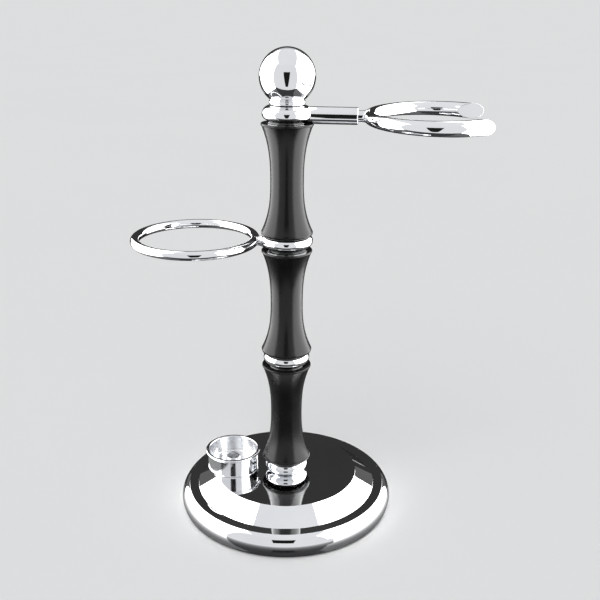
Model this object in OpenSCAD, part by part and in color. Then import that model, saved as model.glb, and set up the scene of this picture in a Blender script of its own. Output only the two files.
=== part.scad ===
// Shaving stand: a weighted mirror base, a column of three turned spools clamped on one
// threaded rod, a forked arm, a ring arm and a small cup.
// Millimetres, +Z up. Origin: centre of the base pad's underside, on the column's axis.
// The cup and the ring lie towards -X, the fork towards +X.

/* [Base] */
// Radius of the flat disc on top of the base
disc_r = 26.8; // [25:0.1:28]
// Height of the flat disc above the table
disc_z = 13; // [12.5:0.1:14]
// Radius at the foot of the sloping band round the disc
slope_r = 33.9; // [33:0.1:35]
// Height lost over the sloping band
slope_drop = 4.7; // [4.2:0.1:5]
// Outer radius of the narrow level ledge
ledge_r = 37.4; // [36.8:0.1:38]
// Radius of the round rim's section
rim_round = 5.6; // [5.2:0.1:6.2]
// Height of the rim's widest line
rim_z = 3.4; // [3:0.1:4]
// Thickness of the base shell
shell_wall = 2; // [1.6:0.1:2.2]
// Gap between the shell's foot and the table
shell_lift = 0.5; // [0.3:0.1:1]
// Thickness of the pad under the base
pad_h = 2; // [1.6:0.1:2.2]
// Radius of the pad
pad_r = 36.8; // [36:0.1:37]

/* [Column] */
// Length of each spool
spool_h = 38.93; // [37:0.01:40]
// Radius at the spool's waist
waist_r = 5.8; // [5.6:0.1:7]
// Height of the waist above the spool's foot
waist_z = 19; // [17:0.5:21]
// Growth in radius from the waist to the top
flare_top = 3; // [2:0.1:3.2]
// Growth in radius from the waist to the foot
flare_foot = 3.35; // [2:0.1:3.5]
// Curve of the flare: higher is straighter at the waist
flare_power = 2.6; // [2:0.1:3]
// Radius of the thin lip round the spool's top
lip_r = 9; // [8.9:0.05:9.4]
// Height of the thin lip
lip_h = 0.8; // [0.6:0.1:1.2]
// Height of the rounded edge at the spool's foot
foot_round = 1.1; // [0.8:0.1:1.5]
// Height of the collar on the base
foot_collar_h = 5.4; // [5:0.1:5.8]
// Height of the plain collar
plain_collar_h = 5.2; // [4.8:0.1:5.6]
// Height of the collar that carries the ring
ring_collar_h = 5.4; // [5:0.1:6]
// Height of the collar that carries the fork
fork_collar_h = 5.86; // [5.8:0.02:6]

/* [Knob] */
// Radius of the ball
ball_r = 9.5; // [9.4:0.1:10.2]
// Height of the ball's centre above the fork collar
ball_up = 9.34; // [9.2:0.02:9.4]
// Radius of the bead under the ball
neck_r = 6.2; // [6.1:0.05:6.3]

/* [Fork] */
// Height of the arm's axis above the fork collar's foot
arm_up = 2.7; // [2.6:0.05:2.8]
// Direction the fork points in, in degrees about the column
fork_angle = -6.5; // [-30:0.5:30]
// Roll of the fork about its arm, in degrees
fork_roll = 1.2; // [0:0.1:2]
// Distance from the column to the fork's centre
fork_reach = 49.5; // [48:0.5:54]
// Radius of the fork's centre line
fork_bend_r = 22; // [21:0.5:24]
// Thickness of the fork's rod where it leaves the arm
fork_root_d = 4; // [3.6:0.1:4.4]
// Thickness of the fork's rod at its two ends
fork_tip_d = 5.3; // [4.6:0.1:5.8]
// Width of the fork's mouth
fork_mouth = 35; // [30:0.5:37]
// Outer radius of the sleeve between the collar and the fork
sleeve_r = 2.9; // [2.8:0.1:3]
// Distance from the column to the sleeve's outer end
sleeve_reach = 23.8; // [22:0.1:25]

/* [Ring] */
// Direction the ring points in, in degrees about the column
ring_angle = 173.7; // [150:0.5:200]
// Distance from the column to the ring's centre
ring_reach = 32.9; // [32.5:0.1:34]
// Radius of the ring's centre line
ring_bend_r = 21.3; // [20:0.1:21.5]
// Thickness of the ring's rod
ring_d = 3.3; // [3:0.1:3.5]

/* [Cup] */
// Distance of the cup's centre from the column along X
cup_x = -20.6; // [-21.5:0.1:-20.2]
// Offset of the cup's centre along Y
cup_y = 2; // [0:0.1:4]
// Radius of the cup's rolled lip
cup_lip_r = 10.6; // [10.2:0.1:10.6]
// Radius of the cup's wall outside
cup_r = 9.85; // [9.6:0.05:10.1]
// Height of the cup
cup_h = 7.4; // [7:0.1:8]
// Thickness of the cup's wall
cup_wall = 0.6; // [0.55:0.05:0.8]
// Thickness of the cup's floor
cup_floor = 1; // [0.8:0.1:1.2]

/* [Hardware] */
// Radius of the M5 rod through the column
rod_r = 2.5; // [2.5]
// Pitch of the M5 thread
rod_pitch = 0.8; // [0.8]
// Radius of the M4 stud in the fork's arm
stud_r = 2; // [2]
// Radius of the M3 screw in the cup
screw_r = 1.5; // [1.5]

/* [Hidden] */

fine = 96;
arc_steps = 12;
bead_steps = 8;
eps = 0.02;

// Fits and clearances
run_gap = 0.06;       // radial clearance of a part that turns
seat_gap = 0.05;      // radial clearance of a located part
face_gap = 0.1;       // gap between faces that pass each other
rod_clear_r = rod_r + 0.2;
screw_clear_r = screw_r + 0.2;

// Heights up the column
ledge_z = disc_z - slope_drop;
foot_collar_z = disc_z;
lower_spool_z = foot_collar_z + foot_collar_h;
plain_collar_z = lower_spool_z + spool_h;
middle_spool_z = plain_collar_z + plain_collar_h;
ring_collar_z = middle_spool_z + spool_h;
upper_spool_z = ring_collar_z + ring_collar_h;
fork_collar_z = upper_spool_z + spool_h;
fork_collar_top = fork_collar_z + fork_collar_h;
ball_z = fork_collar_top + ball_up;
arm_z = fork_collar_z + arm_up;
ring_z = ring_collar_z + ring_collar_h / 2;

// Base shell
slope_tilt = atan(slope_drop / (slope_r - disc_r));
inset = shell_wall * tan(slope_tilt / 2);
rim_x = ledge_r - sqrt(rim_round * rim_round - pow(ledge_z - rim_z, 2));
rim_top_a = asin((ledge_z - rim_z) / rim_round);
rim_foot_a = -asin((rim_z - shell_lift) / rim_round);
skirt_r = pad_r + 0.2;
skirt_shoulder_z = rim_z + 1;
shell_ceiling_z = disc_z - shell_wall;
ballast_gap = 0.2;

// Nut, washers and the pockets that hold them under the base
washer_r = 5;
washer_h = 1;
lock_washer_r = 4.4;
lock_washer_h = 1.2;
lock_split = 0.7;
nut_flats = 8;
nut_h = 4;
nut_pocket_r = 6.6;
nut_pocket_z = 8.9;
washer_z = nut_pocket_z - washer_h;
lock_washer_z = washer_z - lock_washer_h;
nut_z = lock_washer_z - nut_h;
cup_washer_r = 3.5;
cup_washer_h = 0.5;
cup_nut_flats = 5.5;
cup_nut_h = 2.4;
cup_pocket_r = 4.6;
cup_washer_z = shell_ceiling_z - cup_washer_h;
cup_nut_z = cup_washer_z - cup_nut_h;

// Registers that centre each collar in the spools
register_r = 5;
register_h = 1;
fixed_register_h = 1.6;
socket_r = register_r + seat_gap;
socket_h = 1.7;
column_washer_h = socket_h - register_h;
column_washer_r = register_r - 0.1;
spool_bore_r = 2.8;
column_washer_bore_r = rod_r + run_gap;

// Beads of the collars: radius at the widest line, height of that line above the collar's
// foot, radius of the rounding below it, radius of the rounding above it
foot_bead = [8, 2.5, 2.6, 2.6];
plain_bead = [8.45, 2.97, 2.3, 2.3];
ring_bead = [9.2, 3.35, 2.05, 2.05];
fork_bead = [8.6, 2.96, 1.9, 2.9];

// Rod and knob
rod_foot_z = 2.6;
rod_engaged = 12.75 * rod_pitch;
knob_washer_h = 0.8;
knob_washer_r = 4.6;
knob_foot_z = fork_collar_top + face_gap;
knob_recess_z = fork_collar_top + knob_washer_h;
rod_top_z = knob_recess_z + rod_engaged;
knob_bore_top_z = rod_top_z + 1.5;
knob_foot_r = 5.45;
neck_bead_r = 0.8;
neck_bead_z = fork_collar_top + 1;
rod_chamfer = 0.5;

// Where the knob's bead meets its ball: the direction of that point from the ball's centre,
// and from the bead's
bead_from_ball = [neck_r - neck_bead_r, neck_bead_z - ball_z];
bead_away = norm(bead_from_ball);
join_spread = acos((bead_away * bead_away + ball_r * ball_r - neck_bead_r * neck_bead_r)
    / (2 * bead_away * ball_r));
ball_join_a = atan2(bead_from_ball[1], bead_from_ball[0]) + join_spread;
bead_join_a = atan2(ball_r * sin(ball_join_a) - bead_from_ball[1],
    ball_r * cos(ball_join_a) - bead_from_ball[0]);

// Fork
stud_in_collar = 4.2;
stud_reach = 13;
stud_seat_r = stud_r + seat_gap;
tail_r = fork_root_d / 2;
tail_start = 14;
tail_seat_r = tail_r + seat_gap;
sleeve_start = 5.5;
sleeve_chamfer = 0.35;
sleeve_relief_r = lip_r + 0.25;
tip_half_angle = asin(fork_mouth / 2 / fork_bend_r);
fork_rings = 48;
fork_sides = 20;

// Ring
stem_shank_r = 1.5;
stem_shank_in = 4.4;
stem_collar_r = 2.1;
stem_ring_r = 1.75;
stem_seat_r = stem_shank_r + seat_gap;

// Cup
cup_z = disc_z;
cup_foot_chamfer = 0.4;
cup_mouth_chamfer = 0.3;
cup_lip_h = 0.9;
screw_head_r = 2.75;
screw_head_h = 3;
screw_head_chamfer = 0.3;
screw_socket_flats = 2.5;
screw_socket_h = 1.6;
screw_tail = 0.6;

// Points on a circular arc from angle a0 to angle a1
function arc(cx, cz, r, a0, a1, n = arc_steps) =
    [for (i = [0:n]) let (a = a0 + (a1 - a0) * i / n) [cx + r * cos(a), cz + r * sin(a)]];

// All points but the first
function after_first(points) = [for (i = [1:len(points) - 1]) points[i]];

// Outline of a collar from z0 to z1: a bead, with a plain neck where the bead stops short.
// z is the height of the collar's foot before any gap is taken off.
function bead_outline(z, z0, z1, bead) =
    let (
        mid = z + bead[1],
        low_r = bead[2],
        high_r = bead[3],
        low_neck = bead[0] - low_r,
        high_neck = bead[0] - high_r,
        below = (mid - z0) / low_r,
        above = (z1 - mid) / high_r
    )
    concat(
        below > 1 + eps ? [[low_neck, z0]] : [],
        arc(low_neck, mid, low_r, -asin(min(1, below)), 0, bead_steps),
        after_first(arc(high_neck, mid, high_r, 0, asin(min(1, above)), bead_steps)),
        above > 1 + eps ? [[high_neck, z1]] : []
    );

// Radius of a spool at height z above its foot
function spool_radius(z) =
    let (
        up = z > waist_z,
        span = up ? spool_h - lip_h - waist_z : waist_z - foot_round,
        flare = up ? flare_top : flare_foot
    )
    waist_r + flare * pow(abs(z - waist_z) / span, flare_power);

// Tube with a plain bore, standing at height z
module tube(z, h, outer_r, inner_r) {
    translate([0, 0, z])
        difference() {
            cylinder(h = h, r = outer_r, $fn = fine);
            translate([0, 0, -eps])
                cylinder(h = h + 2 * eps, r = inner_r, $fn = fine);
        }
}

// Hexagon nut with a plain bore
module hex_nut(z, h, flats, inner_r) {
    translate([0, 0, z])
        difference() {
            cylinder(h = h, r = flats / 2 / cos(30), $fn = 6);
            translate([0, 0, -eps])
                cylinder(h = h + 2 * eps, r = inner_r, $fn = fine);
        }
}

// Solid of a collar's bead, down to the column's axis
module bead_solid(z, z0, z1, bead) {
    rotate_extrude($fn = fine)
        polygon(concat([[0, z0]], bead_outline(z, z0, z1, bead), [[0, z1]]));
}

// Turned ring with one bead between z0 and z1 and a register at either end
module collar_body(z, z0, z1, bead, bore_r, foot_register, top_register) {
    foot = foot_register > 0
        ? [[bore_r, z0 - foot_register], [register_r, z0 - foot_register], [register_r, z0]]
        : [[bore_r, z0]];
    top = top_register > 0
        ? [[register_r, z1], [register_r, z1 + top_register], [bore_r, z1 + top_register]]
        : [[bore_r, z1]];
    rotate_extrude($fn = fine)
        polygon(concat(foot, bead_outline(z, z0, z1, bead), top));
}

// Waisted spool with a socket at either end for a collar's register
module spool(z) {
    steps = 24;
    flank_top = spool_h - lip_h;
    foot_r = spool_radius(foot_round);
    foot_in = 0.6;
    lip_edge = 0.15;
    flank = [for (i = [0:steps])
        let (h = foot_round + (flank_top - foot_round) * i / steps)
        [spool_radius(h), h]];
    foot_edge = [for (i = [0:3]) let (a = -90 + 22.5 * i)
        [foot_r - foot_in + foot_in * cos(a), foot_round + foot_round * sin(a)]];
    translate([0, 0, z])
        rotate_extrude($fn = fine)
            polygon(concat(
                [[socket_r, 0]], foot_edge, flank,
                [
                    [lip_r, flank_top + lip_edge],
                    [lip_r, spool_h - lip_edge],
                    [lip_r - lip_edge, spool_h],
                    [socket_r, spool_h],
                    [socket_r, spool_h - socket_h],
                    [spool_bore_r, spool_h - socket_h],
                    [spool_bore_r, socket_h],
                    [socket_r, socket_h]
                ]
            ));
}

// ---- Base ----

module base_shell() {
    color("silver")
        difference() {
            rotate_extrude($fn = fine)
                polygon(concat(
                    [
                        [rod_clear_r, shell_ceiling_z],
                        [rod_clear_r, disc_z],
                        [disc_r, disc_z],
                        [slope_r, ledge_z]
                    ],
                    arc(rim_x, rim_z, rim_round, rim_top_a, rim_foot_a),
                    [
                        [skirt_r, shell_lift],
                        [skirt_r, skirt_shoulder_z],
                        [slope_r + shell_wall, ledge_z - shell_wall],
                        [slope_r - inset, ledge_z - shell_wall],
                        [disc_r - inset, shell_ceiling_z]
                    ]
                ));
            translate([cup_x, cup_y, shell_ceiling_z - eps])
                cylinder(h = shell_wall + 2 * eps, r = screw_clear_r, $fn = fine);
        }
}

module ballast() {
    foot_r = slope_r - inset - ballast_gap;
    color("dimgray")
        difference() {
            rotate_extrude($fn = fine)
                polygon([
                    [rod_clear_r, pad_h],
                    [foot_r, pad_h],
                    [foot_r, ledge_z - shell_wall],
                    [disc_r - inset - ballast_gap, shell_ceiling_z],
                    [rod_clear_r, shell_ceiling_z]
                ]);
            translate([0, 0, pad_h - eps])
                cylinder(h = nut_pocket_z - pad_h + eps, r = nut_pocket_r, $fn = fine);
            translate([cup_x, cup_y, pad_h - eps])
                cylinder(h = disc_z, r = cup_pocket_r, $fn = fine);
        }
}

module base_pad() {
    color("black")
        cylinder(h = pad_h, r = pad_r, $fn = fine);
}

module base_washer() {
    color("gainsboro")
        tube(washer_z, washer_h, washer_r, rod_clear_r);
}

module lock_washer() {
    color("gainsboro")
        difference() {
            tube(lock_washer_z, lock_washer_h, lock_washer_r, rod_clear_r);
            translate([0, -lock_split / 2, lock_washer_z - eps])
                cube([lock_washer_r + 1, lock_split, lock_washer_h + 2 * eps]);
        }
}

module base_nut() {
    color("gainsboro")
        hex_nut(nut_z, nut_h, nut_flats, rod_r + eps);
}

module tie_rod() {
    shank = rod_top_z - rod_foot_z - 2 * rod_chamfer;
    tip_r = rod_r - rod_chamfer;
    color("gainsboro")
        translate([0, 0, rod_foot_z])
            rotate_extrude($fn = fine)
                polygon([
                    [0, 0],
                    [tip_r, 0],
                    [rod_r, rod_chamfer],
                    [rod_r, rod_chamfer + shank],
                    [tip_r, 2 * rod_chamfer + shank],
                    [0, 2 * rod_chamfer + shank]
                ]);
}

// ---- Column ----

module foot_collar() {
    color("silver")
        collar_body(foot_collar_z, foot_collar_z, lower_spool_z, foot_bead, rod_clear_r,
            0, fixed_register_h);
}

module lower_spool() {
    color("black")
        spool(lower_spool_z);
}

module plain_collar() {
    color("silver")
        collar_body(plain_collar_z, plain_collar_z, middle_spool_z, plain_bead, rod_clear_r,
            fixed_register_h, fixed_register_h);
}

module middle_spool() {
    color("black")
        spool(middle_spool_z);
}

module upper_spool() {
    color("black")
        spool(upper_spool_z);
}

// Thin washer in a spool's socket, which the turning collar bears on
module column_washer(z) {
    color("ivory")
        tube(z, column_washer_h, column_washer_r, column_washer_bore_r);
}

module ring_washer_lower() {
    column_washer(ring_collar_z - socket_h);
}

module ring_washer_upper() {
    column_washer(upper_spool_z + register_h);
}

module fork_washer_lower() {
    column_washer(fork_collar_z - socket_h);
}

// ---- Ring arm ----

// Body of the ring's collar; its faces stand just clear of the spools
module ring_collar_body() {
    collar_body(ring_collar_z, ring_collar_z + face_gap, upper_spool_z - face_gap, ring_bead,
        column_washer_bore_r, register_h + face_gap, register_h + face_gap);
}

module ring_collar() {
    color("silver")
        difference() {
            ring_collar_body();
            rotate([0, 0, ring_angle])
                translate([stem_shank_in, 0, ring_z])
                    rotate([0, 90, 0])
                        cylinder(h = ring_collar_h, r = stem_seat_r, $fn = fine);
        }
}

// Closed ring of round rod
module ring_loop() {
    color("silver")
        rotate([0, 0, ring_angle])
            translate([ring_reach, 0, ring_z])
                rotate_extrude($fn = fine)
                    translate([ring_bend_r, 0])
                        circle(d = ring_d, $fn = fine);
}

// Turned pin screwed into the collar; its flared head is brazed to the ring
module ring_stem() {
    head_start = 8;
    head_end = ring_reach - ring_bend_r;
    color("silver")
        difference() {
            rotate([0, 0, ring_angle])
                translate([0, 0, ring_z])
                    rotate([0, 90, 0]) {
                        translate([0, 0, stem_shank_in + eps])
                            cylinder(h = head_start - stem_shank_in, r = stem_shank_r, $fn = fine);
                        translate([0, 0, head_start])
                            cylinder(h = head_end - head_start, r1 = stem_collar_r,
                                r2 = stem_ring_r, $fn = fine);
                    }
            difference() {
                bead_solid(ring_collar_z, ring_collar_z + face_gap, upper_spool_z - face_gap,
                    ring_bead);
                rotate([0, 0, ring_angle])
                    translate([0, 0, ring_z])
                        rotate([0, 90, 0])
                            cylinder(h = ring_reach, r = stem_seat_r, $fn = fine);
            }
            ring_loop();
        }
}

// ---- Fork arm ----

module fork_collar() {
    color("silver")
        difference() {
            collar_body(fork_collar_z, fork_collar_z + face_gap, fork_collar_top, fork_bead,
                column_washer_bore_r, register_h + face_gap, 0);
            rotate([0, 0, fork_angle])
                translate([stud_in_collar, 0, arm_z])
                    rotate([0, 90, 0])
                        cylinder(h = fork_collar_h + sleeve_r, r = stud_seat_r, $fn = fine);
        }
}

module fork_stud() {
    color("gainsboro")
        rotate([0, 0, fork_angle])
            translate([stud_in_collar + eps, 0, arm_z])
                rotate([0, 90, 0])
                    cylinder(h = stud_reach - stud_in_collar, r = stud_r, $fn = fine);
}

// Sleeve, coped at its inner end against the collar, and relieved to clear the spool's lip
module fork_sleeve() {
    color("silver")
        difference() {
            rotate([0, 0, fork_angle])
                translate([0, 0, arm_z])
                    rotate([0, 90, 0])
                        difference() {
                            union() {
                                translate([0, 0, sleeve_start])
                                    cylinder(h = sleeve_reach - sleeve_chamfer - sleeve_start,
                                        r = sleeve_r, $fn = fine);
                                translate([0, 0, sleeve_reach - sleeve_chamfer])
                                    cylinder(h = sleeve_chamfer, r1 = sleeve_r,
                                        r2 = sleeve_r - sleeve_chamfer, $fn = fine);
                            }
                            cylinder(h = stud_reach + 0.5, r = stud_seat_r, $fn = fine);
                            translate([0, 0, tail_start - eps])
                                cylinder(h = sleeve_reach, r = tail_seat_r, $fn = fine);
                        }
            bead_solid(fork_collar_z, fork_collar_z - sleeve_r, fork_collar_top, fork_bead);
            translate([0, 0, fork_collar_z - sleeve_r])
                cylinder(h = sleeve_r + face_gap, r = sleeve_relief_r, $fn = fine);
        }
}

// One section of the fork's rod at angle a; the two end sections lie in the mouth's faces
function fork_section(a) =
    let (
        turned = abs(a - 180),
        grow = turned / (180 - tip_half_angle),
        r = (fork_root_d + (fork_tip_d - fork_root_d) * grow) / 2,
        cut = grow > 1 - 1 / fork_rings ? 1 : 0,
        side = a < 180 ? 1 : -1
    )
    [for (i = [0:fork_sides - 1])
        let (
            w = 360 * i / fork_sides,
            q = fork_bend_r + r * cos(w),
            x = cut == 1 ? sqrt(q * q - pow(fork_mouth / 2, 2)) : q * cos(a),
            y = cut == 1 ? side * fork_mouth / 2 : q * sin(a)
        )
        [x, y, r * sin(w)]];

// Angles of the sections: evenly spaced, but kept clear of the slanted end faces
function fork_angles() =
    let (
        slant = asin(fork_mouth / 2 / (fork_bend_r - fork_tip_d / 2)) - tip_half_angle + 2,
        first = tip_half_angle + slant,
        span = 360 - 2 * first
    )
    concat(
        [tip_half_angle],
        [for (i = [0:fork_rings]) first + span * i / fork_rings],
        [360 - tip_half_angle]
    );

// Crescent of tapered round rod, open towards +X
module fork_crescent() {
    angles = fork_angles();
    count = len(angles);
    points = [for (a = angles) each fork_section(a)];
    walls = [for (k = [0:count - 2], i = [0:fork_sides - 1])
        let (j = (i + 1) % fork_sides)
        [k * fork_sides + i, k * fork_sides + j, (k + 1) * fork_sides + j, (k + 1) * fork_sides + i]];
    first_cap = [[for (i = [fork_sides - 1:-1:0]) i]];
    last_cap = [[for (i = [0:fork_sides - 1]) (count - 1) * fork_sides + i]];
    polyhedron(points = points, faces = concat(walls, first_cap, last_cap), convexity = 6);
}

module fork() {
    color("silver")
        rotate([0, 0, fork_angle])
            translate([0, 0, arm_z])
                rotate([fork_roll, 0, 0]) {
                    translate([fork_reach, 0, 0])
                        fork_crescent();
                    translate([tail_start, 0, 0])
                        rotate([0, 90, 0])
                            cylinder(h = fork_reach - fork_bend_r - tail_start, r = tail_r, $fn = fine);
                }
}

// ---- Knob ----

module knob_washer() {
    color("ivory")
        tube(fork_collar_top, knob_washer_h, knob_washer_r, rod_r + run_gap);
}

module knob() {
    bead_foot_a = -70;
    recess_r = knob_washer_r + run_gap;
    bore_r = rod_r + run_gap;
    color("silver")
        rotate_extrude($fn = fine)
            polygon(concat(
                [
                    [bore_r, knob_recess_z],
                    [recess_r, knob_recess_z],
                    [recess_r, knob_foot_z],
                    [knob_foot_r, knob_foot_z]
                ],
                arc(neck_r - neck_bead_r, neck_bead_z, neck_bead_r, bead_foot_a, bead_join_a),
                after_first(arc(0, ball_z, ball_r, ball_join_a, 90, 2 * arc_steps)),
                [[0, knob_bore_top_z], [bore_r, knob_bore_top_z]]
            ));
}

// ---- Cup ----

module cup() {
    inner_r = cup_r - cup_wall;
    lip_z = cup_h - cup_lip_h;
    lip_round = cup_lip_h / 2;
    color("silver")
        translate([cup_x, cup_y, cup_z])
            rotate_extrude($fn = fine)
                polygon(concat(
                    [
                        [screw_clear_r, 0],
                        [cup_r - cup_foot_chamfer, 0],
                        [cup_r, cup_foot_chamfer],
                        [cup_r, lip_z]
                    ],
                    arc(cup_lip_r - lip_round, lip_z + lip_round, lip_round, -60, 90, 6),
                    [
                        [inner_r + cup_mouth_chamfer, cup_h],
                        [inner_r, cup_h - cup_mouth_chamfer],
                        [inner_r, cup_floor],
                        [screw_clear_r, cup_floor]
                    ]
                ));
}

// Socket-head screw through the cup's floor and the base shell
module cup_screw() {
    head_z = cup_z + cup_floor;
    head_top = head_z + screw_head_h;
    shank_z = cup_nut_z - screw_tail;
    color("gainsboro")
        translate([cup_x, cup_y, 0])
            difference() {
                rotate_extrude($fn = fine)
                    polygon([
                        [0, shank_z],
                        [screw_r, shank_z],
                        [screw_r, head_z],
                        [screw_head_r, head_z],
                        [screw_head_r, head_top - screw_head_chamfer],
                        [screw_head_r - screw_head_chamfer, head_top],
                        [0, head_top]
                    ]);
                translate([0, 0, head_top - screw_socket_h])
                    cylinder(h = screw_socket_h + eps, r = screw_socket_flats / 2 / cos(30), $fn = 6);
            }
}

module cup_washer() {
    color("gainsboro")
        translate([cup_x, cup_y, 0])
            tube(cup_washer_z, cup_washer_h, cup_washer_r, screw_clear_r);
}

module cup_nut() {
    color("gainsboro")
        translate([cup_x, cup_y, 0])
            hex_nut(cup_nut_z, cup_nut_h, cup_nut_flats, screw_r + eps);
}

base_shell();
ballast();
base_pad();
base_washer();
lock_washer();
base_nut();
tie_rod();
foot_collar();
lower_spool();
plain_collar();
middle_spool();
ring_washer_lower();
ring_collar();
ring_stem();
ring_loop();
ring_washer_upper();
upper_spool();
fork_washer_lower();
fork_collar();
fork_stud();
fork_sleeve();
fork();
knob_washer();
knob();
cup();
cup_screw();
cup_washer();
cup_nut();
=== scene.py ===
"""Looks for the shaving stand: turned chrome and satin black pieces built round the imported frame.

The stand's lengths are in metres, written as millimetres times MM; the light tent's are plain
metres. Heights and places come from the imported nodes' boxes. What is stated here is what a box
can't give: the outlines' inner radii, lips, beads and fillets, and the arms' angles and reaches.
"""
import math
from collections import namedtuple

import bmesh
import bpy
from mathutils import Matrix, Vector


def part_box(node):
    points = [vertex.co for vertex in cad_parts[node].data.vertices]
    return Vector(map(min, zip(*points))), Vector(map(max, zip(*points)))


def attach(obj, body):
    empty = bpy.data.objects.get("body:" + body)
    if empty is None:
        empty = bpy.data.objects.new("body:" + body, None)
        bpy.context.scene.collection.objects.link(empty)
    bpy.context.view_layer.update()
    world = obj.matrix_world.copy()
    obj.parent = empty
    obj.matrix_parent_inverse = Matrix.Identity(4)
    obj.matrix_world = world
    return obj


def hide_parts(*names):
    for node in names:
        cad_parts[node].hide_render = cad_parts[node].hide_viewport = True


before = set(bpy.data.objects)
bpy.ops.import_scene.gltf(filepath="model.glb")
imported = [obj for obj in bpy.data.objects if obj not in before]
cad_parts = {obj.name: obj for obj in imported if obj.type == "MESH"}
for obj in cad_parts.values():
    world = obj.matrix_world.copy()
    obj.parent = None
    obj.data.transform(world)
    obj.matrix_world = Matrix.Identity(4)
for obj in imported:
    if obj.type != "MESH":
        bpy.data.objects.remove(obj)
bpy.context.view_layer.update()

MM = 0.001
TURN = 2 * math.pi
SAME_POINT = 1e-7


# ---------------------------------------------------------------- places taken from the frame

def low(node):
    """Lowest corner of a CAD node."""
    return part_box(node)[0]


def high(node):
    """Highest corner of a CAD node."""
    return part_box(node)[1]


def middle(node):
    """Centre of a CAD node's box."""
    return (low(node) + high(node)) / 2


DISC_Z = high("base_shell").z
SHELL_FOOT_Z = low("base_shell").z
RIM_R = high("base_shell").x
RING_Z = middle("ring_loop").z
ARM_Z = middle("fork_sleeve").z
CUP_AT = Vector((middle("cup").x, middle("cup").y, 0))
FORK_TOP_Z = high("fork_collar").z

# ---------------------------------------------------------------- the design's own dimensions

DISC_R = 26.8 * MM
SLOPE_R = 33.9 * MM
SLOPE_DROP = 4.7 * MM
RIM_ROUND = 5.6 * MM
RIM_Z = 3.4 * MM
SHELL_WALL = 2.0 * MM
REGISTER_R = 5.0 * MM
SOCKET_H = 1.7 * MM
WAIST_R = 5.8 * MM
WAIST_Z = 19.0 * MM
FLARE_TOP = 3.0 * MM
FLARE_FOOT = 3.35 * MM
FLARE_POWER = 2.6
LIP_R = 9.0 * MM
LIP_H = 0.8 * MM
FOOT_ROUND = 1.1 * MM
ROD_R = 2.5 * MM
ROD_PITCH = 0.8 * MM
NECK_R = 6.2 * MM
FORK_ANGLE = math.radians(-6.5)
FORK_ROLL = math.radians(1.2)
FORK_REACH = 49.5 * MM
FORK_BEND_R = 22.0 * MM
FORK_ROOT_R = 2.0 * MM
FORK_TIP_R = 2.65 * MM
FORK_MOUTH = 35.0 * MM
SLEEVE_R = 2.9 * MM
SLEEVE_REACH = 23.8 * MM
RING_ANGLE = math.radians(173.7)
RING_REACH = 32.9 * MM
RING_BEND_R = 21.3 * MM
RING_ROD_R = 1.65 * MM
CUP_R = 9.85 * MM
CUP_WALL = 0.6 * MM


# ---------------------------------------------------------------- materials

class Nodes:
    """A material's node tree, with short calls for the nodes used here."""

    def __init__(self, name, shader="ShaderNodeBsdfPrincipled"):
        self.material = bpy.data.materials.new(name)
        self.material.use_nodes = True
        self.tree = self.material.node_tree
        self.tree.nodes.clear()
        self.shader = self.add(shader)
        self.link(self.shader.outputs[0], self.add("ShaderNodeOutputMaterial").inputs["Surface"])
        self.place = self.add("ShaderNodeTexCoord").outputs["Object"]

    def add(self, kind, **settings):
        node = self.tree.nodes.new(kind)
        for key, value in settings.items():
            setattr(node, key, value)
        return node

    def link(self, a, b):
        self.tree.links.new(a, b)

    def set(self, **values):
        """Sets the shader's sockets; an underscore stands for a space in a socket's name."""
        for key, value in values.items():
            self.shader.inputs[key.replace("_", " ")].default_value = value

    def feed(self, socket, value):
        """Links a value to one of the shader's sockets."""
        self.link(value, self.shader.inputs[socket])

    def noise(self, scale, detail=3.0, roughness=0.55, stretch=(1, 1, 1)):
        """Noise over the piece, scale in waves per metre."""
        mapping = self.add("ShaderNodeMapping")
        mapping.inputs["Scale"].default_value = stretch
        self.link(self.place, mapping.inputs["Vector"])
        node = self.add("ShaderNodeTexNoise")
        node.inputs["Scale"].default_value = scale
        node.inputs["Detail"].default_value = detail
        node.inputs["Roughness"].default_value = roughness
        self.link(mapping.outputs["Vector"], node.inputs["Vector"])
        return node.outputs["Fac"]

    def remap(self, value, low_in, high_in, low_out, high_out):
        """Maps one range to another and holds the value at the range's ends."""
        node = self.add("ShaderNodeMapRange")
        for key, number in zip(("From Min", "From Max", "To Min", "To Max"),
                               (low_in, high_in, low_out, high_out)):
            node.inputs[key].default_value = number
        self.link(value, node.inputs["Value"])
        return node.outputs["Result"]

    def math(self, operation, a, b=None):
        node = self.add("ShaderNodeMath", operation=operation)
        for socket, value in zip(node.inputs, (a, b)):
            if isinstance(value, (int, float)):
                socket.default_value = value
            elif value is not None:
                self.link(value, socket)
        return node.outputs["Value"]

    def colour(self, factor, first, second):
        """Base colour that runs from first to second as factor goes from 0 to 1."""
        node = self.add("ShaderNodeMix", data_type="RGBA")
        node.inputs["A"].default_value = (*first, 1)
        node.inputs["B"].default_value = (*second, 1)
        self.link(factor, node.inputs[0])
        self.feed("Base Color", node.outputs["Result"])

    def bump(self, height, distance, normal=None):
        node = self.add("ShaderNodeBump")
        node.inputs["Distance"].default_value = distance
        self.link(height, node.inputs["Height"])
        if normal is not None:
            self.link(normal, node.inputs["Normal"])
        return node.outputs["Normal"]

    def radius_from(self, centre):
        """Distance from a vertical line through centre."""
        shift = self.add("ShaderNodeVectorMath", operation="SUBTRACT")
        shift.inputs[1].default_value = centre
        self.link(self.place, shift.inputs[0])
        flat = self.add("ShaderNodeVectorMath", operation="MULTIPLY")
        flat.inputs[1].default_value = (1, 1, 0)
        self.link(shift.outputs["Vector"], flat.inputs[0])
        length = self.add("ShaderNodeVectorMath", operation="LENGTH")
        self.link(flat.outputs["Vector"], length.inputs[0])
        return length.outputs["Value"]


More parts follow.
